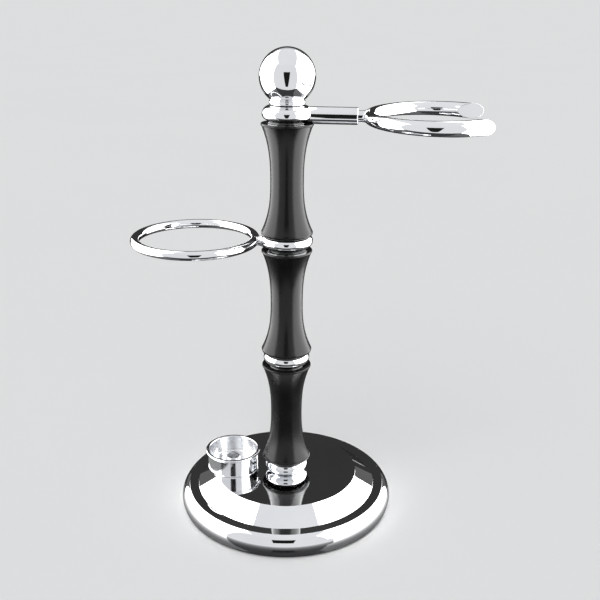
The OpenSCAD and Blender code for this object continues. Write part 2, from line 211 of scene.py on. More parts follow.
def chrome(name, rough=0.035, haze=0.03, ripple=1.0):
    """Polished chrome plate: faint polishing haze, hairline scratches and a slight ripple."""
    n = Nodes(name)
    n.set(Metallic=1.0)
    n.colour(n.remap(n.noise(60, 4), 0.35, 0.7, 0, 1), (0.80, 0.81, 0.83), (0.87, 0.875, 0.885))
    smudges = n.remap(n.noise(140, 5, 0.6), 0.5, 0.75, rough, rough + haze)
    hairs = n.noise(900, 2, 0.5, (1, 1, 14))
    scratches = n.remap(hairs, 0.62, 0.8, 0, 0.7 * haze)
    n.feed("Roughness", n.math("ADD", smudges, scratches))
    ripples = n.bump(n.noise(230, 2, 0.5), 0.004 * MM * ripple)
    n.feed("Normal", n.bump(hairs, 0.0006 * MM, ripples))
    return n.material


def cup_chrome():
    """Chrome plate over a turned cup: satin inside with the tool's fine rings, brighter outside."""
    n = Nodes("chrome_turned")
    n.set(Metallic=1.0)
    n.colour(n.remap(n.noise(90, 4), 0.35, 0.7, 0, 1), (0.78, 0.79, 0.81), (0.86, 0.865, 0.875))
    inner_r = CUP_R - CUP_WALL
    away = n.radius_from(CUP_AT)
    inside = n.remap(away, inner_r + 0.05 * MM, inner_r + 0.25 * MM, 1, 0)
    haze = n.remap(n.noise(300, 4), 0.3, 0.8, 0.09, 0.15)
    n.feed("Roughness", n.math("ADD", haze, n.math("MULTIPLY", inside, 0.12)))
    tool_pitch = 0.22 * MM
    rings = n.math("SINE", n.math("MULTIPLY", away, TURN / tool_pitch))
    n.feed("Normal", n.bump(n.math("MULTIPLY", rings, inside), 0.0012 * MM))
    return n.material


def satin_black():
    """Satin black lacquer over turned metal: fine orange peel, unevenly rubbed."""
    n = Nodes("satin_black_lacquer")
    n.set(IOR=1.5, Specular_IOR_Level=0.33)
    cloud = n.remap(n.noise(45, 5, 0.6), 0.3, 0.75, 0, 1)
    n.colour(cloud, (0.002, 0.002, 0.0022), (0.0035, 0.0035, 0.0038))
    n.feed("Roughness", n.remap(n.noise(260, 5, 0.65), 0.3, 0.8, 0.22, 0.3))
    n.feed("Normal", n.bump(n.noise(2400, 3, 0.5), 0.0035 * MM))
    return n.material


def plated_steel():
    """Zinc-plated steel with a fine mottled bloom."""
    n = Nodes("zinc_plated_steel")
    n.set(Metallic=1.0)
    n.colour(n.noise(500, 4), (0.52, 0.53, 0.55), (0.68, 0.69, 0.70))
    n.feed("Roughness", n.remap(n.noise(900, 4), 0.3, 0.7, 0.22, 0.36))
    n.feed("Normal", n.bump(n.noise(1600, 3), 0.003 * MM))
    return n.material


def nylon():
    """Natural nylon, slightly cloudy."""
    n = Nodes("natural_nylon")
    n.set(Subsurface_Weight=0.1, Roughness=0.45)
    n.colour(n.noise(400, 4), (0.72, 0.69, 0.61), (0.84, 0.82, 0.76))
    n.feed("Normal", n.bump(n.noise(2500, 2), 0.004 * MM))
    return n.material


def foam_rubber():
    """Closed-cell foam rubber with small open pores."""
    n = Nodes("black_foam_rubber")
    cells = n.add("ShaderNodeTexVoronoi", feature="DISTANCE_TO_EDGE")
    cells.inputs["Scale"].default_value = 1600
    n.link(n.place, cells.inputs["Vector"])
    walls = n.remap(cells.outputs["Distance"], 0, 0.25, 1, 0)
    n.colour(walls, (0.02, 0.02, 0.021), (0.045, 0.045, 0.047))
    n.feed("Roughness", n.remap(n.noise(900, 3), 0.3, 0.7, 0.8, 0.95))
    n.feed("Normal", n.bump(walls, 0.05 * MM))
    return n.material


def cast_iron():
    """Rough cast iron with a dark oiled skin."""
    n = Nodes("cast_iron_skin")
    n.set(Metallic=0.85)
    grain = n.noise(700, 6, 0.7)
    n.colour(n.remap(grain, 0.3, 0.7, 0, 1), (0.07, 0.068, 0.066), (0.16, 0.155, 0.15))
    n.feed("Roughness", n.remap(grain, 0.3, 0.7, 0.55, 0.8))
    n.feed("Normal", n.bump(grain, 0.12 * MM))
    return n.material


CHROME_BASE = chrome("chrome_base_plate", rough=0.02, haze=0.025, ripple=0.5)
CHROME_COLLAR = chrome("chrome_collars")
CHROME_ROD = chrome("chrome_bent_rod")
CHROME_KNOB = chrome("chrome_knob_ball", rough=0.025, ripple=0.6)
CHROME_CUP = cup_chrome()
BLACK = satin_black()
STEEL = plated_steel()
NYLON = nylon()
FOAM = foam_rubber()
IRON = cast_iron()


# ---------------------------------------------------------------- outlines

def rounded(corners, closed=False, steps=5):
    """Points (r, z) through corners (r, z, fillet), each fillet drawn as a true arc."""
    most_of_side = 0.48
    nearly_straight = math.pi / 2 - 0.01
    count = len(corners)
    points = []
    for i, (r, z, fillet) in enumerate(corners):
        here = Vector((r, z))
        ends = not closed and i in (0, count - 1)
        if fillet <= 0 or ends:
            points.append((r, z))
            continue
        before = Vector(corners[i - 1][:2]) - here
        after = Vector(corners[(i + 1) % count][:2]) - here
        half = before.angle(after) / 2
        if half > nearly_straight:
            points.append((r, z))
            continue
        reach = min(fillet / math.tan(half), most_of_side * before.length, most_of_side * after.length)
        size = reach * math.tan(half)
        centre = here + (before.normalized() + after.normalized()).normalized() * (size / math.sin(half))
        start = here + before.normalized() * reach - centre
        end = here + after.normalized() * reach - centre
        sweep = start.angle_signed(end)
        for k in range(steps + 1):
            arm = start.copy()
            arm.rotate(Matrix.Rotation(-sweep * k / steps, 2))
            points.append(tuple(centre + arm))
    return points


def arc(cx, cz, radius, first, last, steps):
    """Points on an arc, angles in degrees."""
    angles = [math.radians(first + (last - first) * i / steps) for i in range(steps + 1)]
    return [(cx + radius * math.cos(a), cz + radius * math.sin(a)) for a in angles]


# ---------------------------------------------------------------- meshes

def add_object(name, data):
    """A new object in the scene."""
    thing = bpy.data.objects.new(name, data)
    bpy.context.scene.collection.objects.link(thing)
    return thing


def smooth(piece, edge=0):
    """Smooth shading, with small rounded edges where a width is given."""
    for polygon in piece.data.polygons:
        polygon.use_smooth = True
    if edge:
        bevel = piece.modifiers.new("small_edges", "BEVEL")
        bevel.width = edge
        bevel.segments = 3
        bevel.limit_method = "ANGLE"
        bevel.angle_limit = math.radians(35)
    weighted = piece.modifiers.new("even_normals", "WEIGHTED_NORMAL")
    weighted.weight = 60


def place(name, mesh, material, body, node, edge=0):
    """Adds a finished mesh as a piece that rides on a body and stands for a CAD node."""
    mesh.materials.append(material)
    piece = add_object(name, mesh)
    smooth(piece, edge)
    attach(piece, body)
    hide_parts(node)
    return piece


def finish_mesh(name, bm, material, body, node):
    """Turns a bmesh into a piece, as place() does with a mesh."""
    bmesh.ops.remove_doubles(bm, verts=bm.verts, dist=SAME_POINT)
    bmesh.ops.recalc_face_normals(bm, faces=bm.faces)
    mesh = bpy.data.meshes.new(name)
    bm.to_mesh(mesh)
    bm.free()
    return place(name, mesh, material, body, node)


def turned(points, segments=192, closed=True, matrix=Matrix()):
    """bmesh of an outline (r, z) turned about the Z axis, then moved."""
    bm = bmesh.new()
    angles = [TURN * i / segments for i in range(segments)]
    rings = []
    for r, z in points:
        if r < SAME_POINT:
            rings.append([bm.verts.new((0, 0, z))])
        else:
            rings.append([bm.verts.new((r * math.cos(a), r * math.sin(a), z)) for a in angles])
    pairs = list(zip(rings, rings[1:]))
    if closed:
        pairs.append((rings[-1], rings[0]))
    for first, second in pairs:
        if len(first) == len(second) == 1:
            continue
        for i in range(segments):
            j = (i + 1) % segments
            corners = (first[i % len(first)], first[j % len(first)],
                       second[j % len(second)], second[i % len(second)])
            bm.faces.new(list(dict.fromkeys(corners)))
    bmesh.ops.transform(bm, matrix=matrix, verts=bm.verts)
    return bm


def skin(bm, rings):
    """Joins rings of equally many points and closes both ends; returns the two end faces."""
    count = len(rings[0])
    for first, second in zip(rings, rings[1:]):
        for i in range(count):
            j = (i + 1) % count
            bm.faces.new((first[i], first[j], second[j], second[i]))
    return [bm.faces.new(rings[0][::-1]), bm.faces.new(rings[-1])]


def temp_object(bm):
    """A bmesh as a loose object, for a boolean."""
    bmesh.ops.recalc_face_normals(bm, faces=bm.faces)
    mesh = bpy.data.meshes.new("tool")
    bm.to_mesh(mesh)
    bm.free()
    return add_object("tool", mesh)


def plug(radius, z0, z1, sides, matrix=Matrix()):
    """Plain upright solid to cut with."""
    outline = [(0, z0), (radius, z0), (radius, z1), (0, z1)]
    return temp_object(turned(outline, sides, closed=False, matrix=matrix))


def combined(solid, tools, operation="DIFFERENCE"):
    """Mesh of solid with each tool cut from it or joined to it; solid and tools are used up."""
    for tool in tools:
        step = solid.modifiers.new("combine", "BOOLEAN")
        step.operation = operation
        step.solver = "EXACT"
        step.object = tool
    bpy.context.view_layer.update()
    shaped = solid.evaluated_get(bpy.context.evaluated_depsgraph_get())
    mesh = bpy.data.meshes.new_from_object(shaped)
    for thing in (solid, *tools):
        bpy.data.objects.remove(thing)
    return mesh


LAID_DOWN = Matrix.Rotation(math.pi / 2, 4, "Y")


def along(angle, z):
    """Matrix that lays the Z axis along a level direction from the column."""
    return Matrix.Rotation(angle, 4, "Z") @ Matrix.Translation((0, 0, z)) @ LAID_DOWN


# ---------------------------------------------------------------- base

def base_outline():
    """Outline of the base shell, from the rod's hole outwards and back underneath."""
    hole_r = ROD_R + 0.2 * MM
    skirt_r = high("base_pad").x + 0.2 * MM
    ledge_z = DISC_Z - SLOPE_DROP
    rim_x = RIM_R - RIM_ROUND
    inner_shift = 0.65 * MM
    # Angles on the rim's round where it meets the ledge and the foot; the arc stops some degrees
    # short of both, to leave room for their fillets
    ledge_angle = math.asin((ledge_z - RIM_Z) / RIM_ROUND)
    foot_angle = math.asin((SHELL_FOOT_Z - RIM_Z) / RIM_ROUND)
    ledge_gap, foot_gap = 6, 4
    rim = arc(rim_x, RIM_Z, RIM_ROUND, math.degrees(ledge_angle) - ledge_gap,
              math.degrees(foot_angle) + foot_gap, 40)
    top = rounded([
        (hole_r, DISC_Z, 0),
        (DISC_R, DISC_Z, 0.35 * MM),
        (SLOPE_R, ledge_z, 0.25 * MM),
        (rim_x + RIM_ROUND * math.cos(ledge_angle), ledge_z, 0.3 * MM),
        (*rim[0], 0),
    ])
    under = rounded([
        (*rim[-1], 0),
        (rim_x + RIM_ROUND * math.cos(foot_angle), SHELL_FOOT_Z, 0.25 * MM),
        (skirt_r, SHELL_FOOT_Z, 0.3 * MM),
        (skirt_r, RIM_Z + 1 * MM, 0.6 * MM),
        (SLOPE_R + SHELL_WALL, ledge_z - SHELL_WALL, 0.6 * MM),
        (SLOPE_R - inner_shift, ledge_z - SHELL_WALL, 0.8 * MM),
        (DISC_R - inner_shift, DISC_Z - SHELL_WALL, 0.8 * MM),
        (hole_r, DISC_Z - SHELL_WALL, 0),
    ])
    return top + rim[1:] + under[1:]


def make_base():
    """The plated shell and the foam pad under it."""
    shell = turned(base_outline(), 320)
    finish_mesh("base_shell_plated", shell, CHROME_BASE, "root", "base_shell")
    pad_r = high("base_pad").x
    pad_h = high("base_pad").z
    pad = turned(rounded([
        (0, 0, 0),
        (pad_r, 0, 0.35 * MM),
        (pad_r, pad_h, 0.1 * MM),
        (0, pad_h, 0),
    ]), 240, closed=False)
    finish_mesh("base_pad_foam", pad, FOAM, "root", "base_pad")


# ---------------------------------------------------------------- column

def spool_radius(z, height):
    """Radius of a spool at height z above its foot."""
    if z > WAIST_Z:
        flare, span = FLARE_TOP, height - LIP_H - WAIST_Z
    else:
        flare, span = FLARE_FOOT, WAIST_Z - FOOT_ROUND
    return WAIST_R + flare * (abs(z - WAIST_Z) / span) ** FLARE_POWER


def spool_outline(z0, z1):
    """Closed outline of a spool with a socket in either end."""
    height = z1 - z0
    socket_r = REGISTER_R + 0.05 * MM
    bore_r = 2.8 * MM
    foot_in = 0.6 * MM
    foot_x = spool_radius(FOOT_ROUND, height) - foot_in
    foot = [(foot_x + foot_in * math.cos(math.radians(a)),
             FOOT_ROUND + FOOT_ROUND * math.sin(math.radians(a))) for a in range(-90, 0, 15)]
    flank_top = height - LIP_H
    steps = 72
    heights = [FOOT_ROUND + (flank_top - FOOT_ROUND) * i / steps for i in range(steps)]
    flank = [(spool_radius(h, height), h) for h in heights]
    edge = rounded([
        (*flank[-1], 0),
        (spool_radius(flank_top, height), flank_top, 0.08 * MM),
        (LIP_R, flank_top + 0.12 * MM, 0.12 * MM),
        (LIP_R, height, 0.22 * MM),
        (socket_r, height, 0.12 * MM),
        (socket_r, height - SOCKET_H, 0.05 * MM),
        (bore_r, height - SOCKET_H, 0.1 * MM),
        (bore_r, SOCKET_H, 0.1 * MM),
        (socket_r, SOCKET_H, 0.05 * MM),
        (socket_r, 0, 0),
    ])
    return [(r, z + z0) for r, z in foot + flank + edge[1:]]


def make_spools():
    """Three spools, each as high as its node."""
    for node in ("lower_spool", "middle_spool", "upper_spool"):
        bm = turned(spool_outline(low(node).z, high(node).z), 200)
        finish_mesh(node + "_lacquered", bm, BLACK, "root", node)


Collar = namedtuple("Collar", "radius rise low_r high_r foot_register top_register bore")

# In millimetres: radius at the widest line, that line's height above the bead's foot, radii of the
# rounding below and above it, heights of the registers at the foot and the top, radius of the bore
COLLARS = {
    "foot_collar": Collar(8.0, 2.5, 2.6, 2.6, 0, 1.6, 2.7),
    "plain_collar": Collar(8.45, 2.97, 2.3, 2.3, 1.6, 1.6, 2.7),
    "ring_collar": Collar(9.2, 3.25, 2.05, 2.05, 1.1, 1.1, 2.56),
    "fork_collar": Collar(8.6, 2.86, 1.9, 2.9, 1.1, 0, 2.56),
}
COLLAR_BODIES = {
    "foot_collar": "root",
    "plain_collar": "root",
    "ring_collar": "ring_arm",
    "fork_collar": "fork_arm",
}
COLLAR_SIDES = 208


def collar_sizes(node):
    """A collar's sizes in metres, and the heights of its bead's foot and top."""
    size = Collar(*(value * MM for value in COLLARS[node]))
    return size, low(node).z + size.foot_register, high(node).z - size.top_register


def bead(size, z0, z1):
    """Outer line of a collar from foot to top: a round bead, with a neck where it stops short."""
    steps = 22
    needs_neck = 1.02
    widest = z0 + size.rise
    below = size.rise / size.low_r
    above = (z1 - widest) / size.high_r
    first = -math.degrees(math.asin(min(1, below)))
    last = math.degrees(math.asin(min(1, above)))
    lower = arc(size.radius - size.low_r, widest, size.low_r, first, 0, steps)
    upper = arc(size.radius - size.high_r, widest, size.high_r, 0, last, steps)
    foot = [(size.radius - size.low_r, z0)] if below > needs_neck else []
    top = [(size.radius - size.high_r, z1)] if above > needs_neck else []
    return foot + lower + upper[1:] + top


def collar_outline(node):
    """Closed outline of a collar with its registers and bore."""
    size, z0, z1 = collar_sizes(node)
    edge, corner = 0.1 * MM, 0.05 * MM
    foot = [(size.bore, z0 - size.foot_register, edge)]
    if size.foot_register:
        foot += [(REGISTER_R, z0 - size.foot_register, edge), (REGISTER_R, z0, corner)]
    side = [(r, z, 0) for r, z in bead(size, z0, z1)]
    side[0] = (*side[0][:2], edge)
    side[-1] = (*side[-1][:2], edge)
    top = [(size.bore, z1 + size.top_register, edge)]
    if size.top_register:
        top = [(REGISTER_R, z1, corner), (REGISTER_R, z1 + size.top_register, edge)] + top
    return rounded(foot + side + top, closed=True, steps=4)


def make_collars():
    """Four collars, each on its own body."""
    for node, body in COLLAR_BODIES.items():
        bm = turned(collar_outline(node), COLLAR_SIDES)
        finish_mesh(node + "_plated", bm, CHROME_COLLAR, body, node)


def collar_tool(node):
    """Solid of a collar's bead, to cope an arm against."""
    size, z0, z1 = collar_sizes(node)
    outline = [(0, z0)] + bead(size, z0, z1) + [(0, z1)]
    return temp_object(turned(outline, COLLAR_SIDES, closed=False))


# ---------------------------------------------------------------- rod and knob

def thread_radius(z, angle, start, end):
    """Radius of the rod's thread; it runs out smoothly at start and end."""
    depth, crest, flanks = 0.49 * MM, 0.12, 0.72
    phase = (z / ROD_PITCH - angle / TURN) % 1.0
    cut = min(1.0, max(0.0, (abs(phase - 0.5) * 2 - crest) / flanks))
    fade = max(0.0, min(1.0, (z - start) / ROD_PITCH, (end - z) / ROD_PITCH))
    return ROD_R - 0.01 * MM - depth * cut * fade


def make_rod():
    """The tie rod, threaded at both ends."""
    z0, z1 = low("tie_rod").z, high("tie_rod").z
    foot_end, top_start = z0 + 9 * MM, z1 - 16 * MM
    chamfer = 0.5 * MM
    past_end = 1.0  # so far beyond the rod that its thread doesn't fade at the rod's own end
    segments = 48
    step = ROD_PITCH / 10
    angles = [TURN * i / segments for i in range(segments)]
    heights = [z0 + step * i for i in range(math.ceil((foot_end - z0) / step) + 1)]
    heights += [top_start + step * i for i in range(round((z1 - top_start) / step))] + [z1]
    bm = bmesh.new()
    rings = []
    for z in heights:
        thread = (z0 - past_end, foot_end) if z < top_start else (top_start, z1 + past_end)
        limit = ROD_R - max(0, chamfer - min(z - z0, z1 - z))
        radii = [min(limit, thread_radius(z, a, *thread)) for a in angles]
        rings.append([bm.verts.new((r * math.cos(a), r * math.sin(a), z)) for r, a in zip(radii, angles)])
    skin(bm, rings)
    finish_mesh("tie_rod_threaded", bm, STEEL, "root", "tie_rod")


def make_knob():
    """Ball knob with a beaded neck, a recess for its washer and a blind bore."""
    foot, top = low("knob").z, high("knob").z
    ball_r = high("knob").x
    ball_z = top - ball_r
    bead_r, foot_r = 0.8 * MM, 5.45 * MM
    bead_x, bead_z = NECK_R - bead_r, FORK_TOP_Z + 1.0 * MM
    play, lead_in = 0.06 * MM, 0.2 * MM
    recess_r = high("knob_washer").x + play
    recess_z = high("knob_washer").z
    bore_r = ROD_R + play
    bore_top = high("tie_rod").z + 1.5 * MM
    neck = rounded([
        (bore_r, recess_z + lead_in, 0),
        (bore_r + lead_in, recess_z, 0),
        (recess_r, recess_z, 0.05 * MM),
        (recess_r, foot, 0.08 * MM),
        (foot_r, foot, 0),
    ])
    # Where the ball's circle crosses the bead's, as an angle about each of their centres; the two
    # arcs stop some degrees short of it, and the ball's again short of its top
    away = math.hypot(bead_x, bead_z - ball_z)
    spread = math.acos((away ** 2 + ball_r ** 2 - bead_r ** 2) / (2 * away * ball_r))
    on_ball = math.atan2(bead_z - ball_z, bead_x) + spread
    on_bead = math.atan2(ball_z + ball_r * math.sin(on_ball) - bead_z, ball_r * math.cos(on_ball) - bead_x)
    bead_start, bead_gap, ball_gap, ball_end = -70, 4, 0.4, 89.4
    ring = arc(bead_x, bead_z, bead_r, bead_start, math.degrees(on_bead) - bead_gap, 24)
    ball = arc(0, ball_z, ball_r, math.degrees(on_ball) + ball_gap, ball_end, 110)
    inside = [(0, top), (0, bore_top), (bore_r, bore_top)]
    bm = turned(neck + ring + ball + inside, 224)
    finish_mesh("knob_plated", bm, CHROME_KNOB, "knob_body", "knob")


# ---------------------------------------------------------------- ring arm

def make_ring():
    """Closed ring of round rod."""
    section = arc(RING_BEND_R, 0, RING_ROD_R, 0, 360, 48)[:-1]
    bm = turned(section, 288, matrix=Matrix.Translation(middle("ring_loop")))
    return finish_mesh("ring_loop_plated", bm, CHROME_ROD, "ring_arm", "ring_loop")


def stem_radius(t):
    """Radius of the ring's stem, from its wide end at the collar, t = 0, to the ring, t = 1."""
    return 1.45 * MM + 0.75 * MM * (1 - t) ** 2 + 0.25 * MM * t ** 3


def make_ring_stem(ring):
    """Stem with its shank in the collar, coped against the ring."""
    shank_r, shank_start, shank_end = 1.5 * MM, 4.5 * MM, 8.2 * MM
    chamfer = 0.1 * MM
    end = RING_REACH - RING_BEND_R
    steps = 24
    outline = [
        (0, shank_start),
        (shank_r - chamfer, shank_start),
        (shank_r, shank_start + chamfer),
        (shank_r, shank_end - 0.01 * MM),
    ]
    outline += [(stem_radius(i / steps), shank_end + (end - shank_end) * i / steps)
                for i in range(steps + 1)]
    outline += [(0, end)]
    stem = temp_object(turned(outline, 64, closed=False, matrix=along(RING_ANGLE, RING_Z)))
    mesh = combined(stem, [add_object("loop_tool", ring.data.copy())])
    place("ring_stem_plated", mesh, CHROME_ROD, "ring_arm", "ring_stem")


# ---------------------------------------------------------------- fork arm

FORK_PLACE = (Matrix.Rotation(FORK_ANGLE, 4, "Z") @ Matrix.Translation((0, 0, ARM_Z))
              @ Matrix.Rotation(FORK_ROLL, 4, "X"))


def make_sleeve():
    """Sleeve between the collar and the fork, coped against the collar and clear of the spool."""
    start, edge = 5.5 * MM, 0.35 * MM
    tail_seat = FORK_ROOT_R + 0.05 * MM
    outline = rounded([
        (tail_seat, start, 0),
        (SLEEVE_R, start, 0),
        (SLEEVE_R, SLEEVE_REACH, edge),
        (tail_seat, SLEEVE_REACH, 0.1 * MM),
    ], closed=True)
    sleeve = temp_object(turned(outline, 96, matrix=along(FORK_ANGLE, ARM_Z)))
    bead_foot = collar_sizes("fork_collar")[1]
    lip_relief = plug(LIP_R + 0.25 * MM, bead_foot - SLEEVE_R, bead_foot, COLLAR_SIDES)
    mesh = combined(sleeve, [collar_tool("fork_collar"), lip_relief])
    place("fork_sleeve_plated", mesh, CHROME_ROD, "fork_arm", "fork_sleeve")


def fork_section(angle, radius, sides, in_mouth):
    """One section of the crescent; the two end sections lie in the mouth's parallel faces."""
    half = FORK_MOUTH / 2
    points = []
    for k in range(sides):
        w = TURN * k / sides
        q = FORK_BEND_R + radius * math.cos(w)
        if in_mouth:
            x, y = math.sqrt(q * q - half * half), math.copysign(half, math.sin(angle))
        else:
            x, y = q * math.cos(angle), q * math.sin(angle)
        points.append(Vector((x + FORK_REACH, y, radius * math.sin(w))))
    return points


def fork_crescent():
    """Crescent of round rod that thickens to its flat ends, with their edges softened."""
    sides, count = 48, 150
    tip = math.asin(FORK_MOUTH / 2 / FORK_BEND_R)
    # The end sections lean, so the ones next to them start past the end sections' inner side
    first = math.asin(FORK_MOUTH / 2 / (FORK_BEND_R - FORK_TIP_R)) + math.radians(2)
    angles = [tip] + [first + (TURN - 2 * first) * i / count for i in range(count + 1)] + [TURN - tip]
    bm = bmesh.new()
    rings = []
    for i, a in enumerate(angles):
        grow = abs(a - math.pi) / (math.pi - tip)
        radius = FORK_ROOT_R + (FORK_TIP_R - FORK_ROOT_R) * grow
        section = fork_section(a, radius, sides, i in (0, len(angles) - 1))
        rings.append([bm.verts.new(p) for p in section])
    end_edges = [edge for end in skin(bm, rings) for edge in end.edges]
    bmesh.ops.recalc_face_normals(bm, faces=bm.faces)
    bmesh.ops.bevel(bm, geom=end_edges, offset=0.14 * MM, segments=4, affect="EDGES", profile=0.5)
    bmesh.ops.transform(bm, matrix=FORK_PLACE, verts=bm.verts)
    return temp_object(bm)


def fork_tail():
    """Straight tail of the fork, flared where it runs into the crescent."""
    start, end = 14 * MM, FORK_REACH - FORK_BEND_R
    flare_start = SLEEVE_REACH + 0.5 * MM
    chamfer = 0.2 * MM
    neck_r, flare = FORK_ROOT_R - 0.12 * MM, 0.9 * MM
    steps = 20
    outline = [(0, start), (FORK_ROOT_R - chamfer, start), (FORK_ROOT_R, start + chamfer)]
    outline += [(neck_r + flare * (i / steps) ** 3, flare_start + (end - flare_start) * i / steps)
                for i in range(steps + 1)]
    outline += [(0, end)]
    return temp_object(turned(outline, 64, closed=False, matrix=FORK_PLACE @ LAID_DOWN))


def make_fork():
    """The fork: crescent and tail joined to one piece."""
    mesh = combined(fork_crescent(), [fork_tail()], "UNION")
    place("fork_plated", mesh, CHROME_ROD, "fork_arm", "fork")


# ---------------------------------------------------------------- cup

CUP_PLACE = Matrix.Translation(CUP_AT)


def make_cup():
    """Short cup with a rolled lip and a hole in its floor."""
    foot, top = low("cup").z, high("cup").z
    lip_r = high("cup").x - CUP_AT.x
    lip_h = 0.9 * MM
    lip_round = lip_h / 2
    roll_start = -58
    inner_r = CUP_R - CUP_WALL
    floor_z = foot + 1.0 * MM
    hole_r, hole_edge = 1.7 * MM, 0.1 * MM
    outer = rounded([
        (hole_r, foot, 0),
        (CUP_R - 0.1 * MM, foot, 0.3 * MM),
        (CUP_R, foot + 0.5 * MM, 0.3 * MM),
        (CUP_R, top - lip_h - 0.1 * MM, 0.25 * MM),
        (lip_r - lip_round * 0.5, top - lip_h + 0.03 * MM, 0),
    ])[1:]
    roll = arc(lip_r - lip_round, top - lip_round, lip_round, roll_start, 90, 16)
    inner = rounded([
        (lip_r - lip_round - 0.05 * MM, top, 0),
        (inner_r, top, 0.35 * MM),
        (inner_r, floor_z, 0.5 * MM),
        (hole_r, floor_z, 0),
    ], steps=8)
    bm = turned(outer + roll + inner + [(hole_r, foot + hole_edge)], matrix=CUP_PLACE)
    finish_mesh("cup_plated", bm, CHROME_CUP, "root", "cup")


def make_cup_screw():
    """Socket-head screw: plain round head with a hexagon socket."""
    head_top = high("cup_screw").z
    head_z = head_top - 3.0 * MM
    head_r = high("cup_screw").x - CUP_AT.x
    head_edge, seat_edge = 0.3 * MM, 0.1 * MM
    shank_r, shank_z, chamfer = 1.5 * MM, low("cup_screw").z, 0.3 * MM
    outline = rounded([
        (0, shank_z, 0),
        (shank_r - chamfer, shank_z, 0),
        (shank_r, shank_z + chamfer, 0),
        (shank_r, head_z, 0),
        (head_r - seat_edge, head_z, 0),
        (head_r, head_z + seat_edge, 0.05 * MM),
        (head_r, head_top - head_edge, 0.15 * MM),
        (head_r - head_edge, head_top, 0.12 * MM),
        (0, head_top, 0),
    ], steps=6)
    screw = temp_object(turned(outline, 120, closed=False, matrix=CUP_PLACE))
    half_across_flats, depth = 1.25 * MM, 1.6 * MM
    socket_r = half_across_flats / math.cos(math.pi / 6)
    socket = plug(socket_r, head_top - depth, head_top + 1 * MM, 6, CUP_PLACE)
    mesh = combined(screw, [socket])
    place("cup_screw_socket_head", mesh, STEEL, "root", "cup_screw", edge=0.06 * MM)


# ---------------------------------------------------------------- CAD nodes that stay

KEPT = {
    # node: (material, width of its rounded edges)
    "ballast": (IRON, 0.6 * MM),
    "base_washer": (STEEL, 0.12 * MM),
    "lock_washer": (STEEL, 0.08 * MM),
    "base_nut": (STEEL, 0.25 * MM),
    "cup_washer": (STEEL, 0.08 * MM),
    "cup_nut": (STEEL, 0.18 * MM),
    "fork_stud": (STEEL, 0.2 * MM),
    "ring_washer_lower": (NYLON, 0.08 * MM),
    "ring_washer_upper": (NYLON, 0.08 * MM),
    "fork_washer_lower": (NYLON, 0.08 * MM),
    "knob_washer": (NYLON, 0.1 * MM),
}


def dress_kept_nodes():
    """Finishes for the hidden hardware, whose CAD shape is already right."""
    for node, (material, edge) in KEPT.items():
        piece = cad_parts[node]
        piece.data.materials.clear()
        piece.data.materials.append(material)
        smooth(piece, edge)


# ---------------------------------------------------------------- studio

# The light tent stands round the object as painted reflection: its glowing and dark cards light nothing
# and are seen only in reflections. Each side wall is white up to SIDE_END. From there to WALL_END
# it is white above a sloping line and grey below it, and behind WALL_END it is dark.
TENT_X = 0.25
TENT_FRONT = -0.292
LEFT_WHITE_FROM = -0.16
SIDE_END = 0.25
WALL_END = 0.4
TENT_BACK = 0.5
TENT_TOP = 0.5
TENT_LOW = -0.3
GREY_TOP_Z = 0.125
GREY_TOP_END_Z = 0.146
CEILING_X = 0.27
CEILING_END_X = 0.1
CEILING_END = 0.34
ROOF_X = 0.3
ROOF_GAP = 0.005
# Extent and height of the painted floor reflection: a dark card that only reflections see.
FLOOR_REFLECTION_LEFT = -0.172
FLOOR_REFLECTION_RIGHT = 0.142
FLOOR_REFLECTION_FRONT = -0.14
FLOOR_REFLECTION_Z = 0.0003
FLAP_Y = -0.148
FLAP_TOP = 0.055
# The dark shape of the camera and its stand in the front cloth: wide at the top, narrow at the foot.
CAMERA_X = -0.013
CAMERA_TOP_Z = 0.268
CAMERA_FOOT_Z = -0.06
CAMERA_TOP_W = 0.14
CAMERA_FOOT_W = 0.05
CAMERA_GAP = 0.002
# Strengths of the tent's surfaces; the dark ones brighten a little between two heights.
SIDE_LIGHT = 4.5
GREY_LIGHT = 0.13
CLOTH_LIGHT = 0.87
CEILING_LIGHT = 0.9
CAMERA_LIGHT = 0.012
DARK_LIGHT = 0.038
DARK_TOP_LIGHT = 0.08
DARK_FROM_Z = 0.36
DARK_TO_Z = 0.45


def glow(name, colour, strength):
    """A plain glowing surface: painted light that only reflections see."""
    n = Nodes(name, "ShaderNodeEmission")
    n.set(Color=(*colour, 1), Strength=strength)
    return n.material


def graded_glow(name, first_z, last_z, first, last):
    """A surface whose glow changes with height."""
    n = Nodes(name, "ShaderNodeEmission")
    height = n.add("ShaderNodeSeparateXYZ")
    n.link(n.place, height.inputs[0])
    n.feed("Strength", n.remap(height.outputs["Z"], first_z, last_z, first, last))
    return n.material


def painted_floor_reflection():
    """Painted floor reflection: a polished dark top that only reflections see, where the camera sees the
    pale floor.
    """
    n = Nodes("tent_painted_floor_reflection")
    n.set(IOR=1.4, Roughness=0.06)
    n.colour(n.noise(12, 3), (0.022, 0.022, 0.024), (0.03, 0.03, 0.032))
    return n.material


def rectangle(u0, v0, u1, v1):
    """Four corners of a rectangle, from its low corner to its high one."""
    return [(u0, v0), (u1, v0), (u1, v1), (u0, v1)]


def card(name, corners, material):
    """A flat card that only reflections see."""
    mesh = bpy.data.meshes.new(name)
    mesh.from_pydata(corners, [], [tuple(range(len(corners)))])
    mesh.materials.append(material)
    thing = add_object(name, mesh)
    thing.visible_camera = False
    thing.visible_diffuse = False
    thing.visible_shadow = False
    thing.visible_transmission = False


def side_card(name, x, outline, material):
    """A card that faces along X, given as points (y, z)."""
    card(name, [(x, y, z) for y, z in outline], material)


def upright_card(name, y, outline, material):
    """A card that faces along Y, given as points (x, z)."""
    card(name, [(x, y, z) for x, z in outline], material)


def level_card(name, z, outline, material):
    """A level card, given as points (x, y)."""
    card(name, [(x, y, z) for x, y in outline], material)


